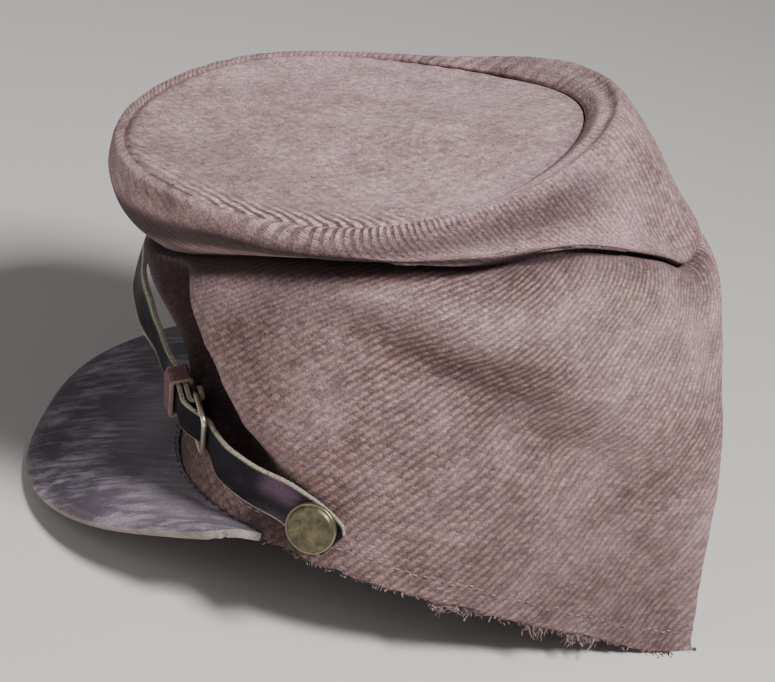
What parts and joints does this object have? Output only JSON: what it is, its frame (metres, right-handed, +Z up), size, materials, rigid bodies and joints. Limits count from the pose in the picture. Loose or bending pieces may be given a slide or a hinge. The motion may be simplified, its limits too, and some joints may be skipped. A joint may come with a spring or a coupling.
{
  "type": "military cap",
  "caption": "Soft wool forage cap with a round crown, slouched creased sides, a drooping leather peak and a buckled chin strap.",
  "frame": {"origin": "middle of the cap's length and width, on the surface that it rests on", "axes": "-Y forward over the peak, +Y to the rear crease, +X to the wearer's left, +Z up"},
  "size_m": [0.1711, 0.2375, 0.1769],
  "materials": {
    "wool": "matte twill, worn",
    "black_leather": "worn and crazed",
    "brown_leather": "worn",
    "dull_brass": "tarnished",
    "pale_brass": "dull"
  },
  "bodies": {
    "root": {"body": "wool", "crown_top": "wool", "peak": "black_leather", "strap_left": "black_leather", "strap_right": "black_leather", "keeper": "brown_leather", "buckle": "pale_brass", "button_left": "dull_brass", "button_right": "dull_brass"}
  },
  "joints": []
}
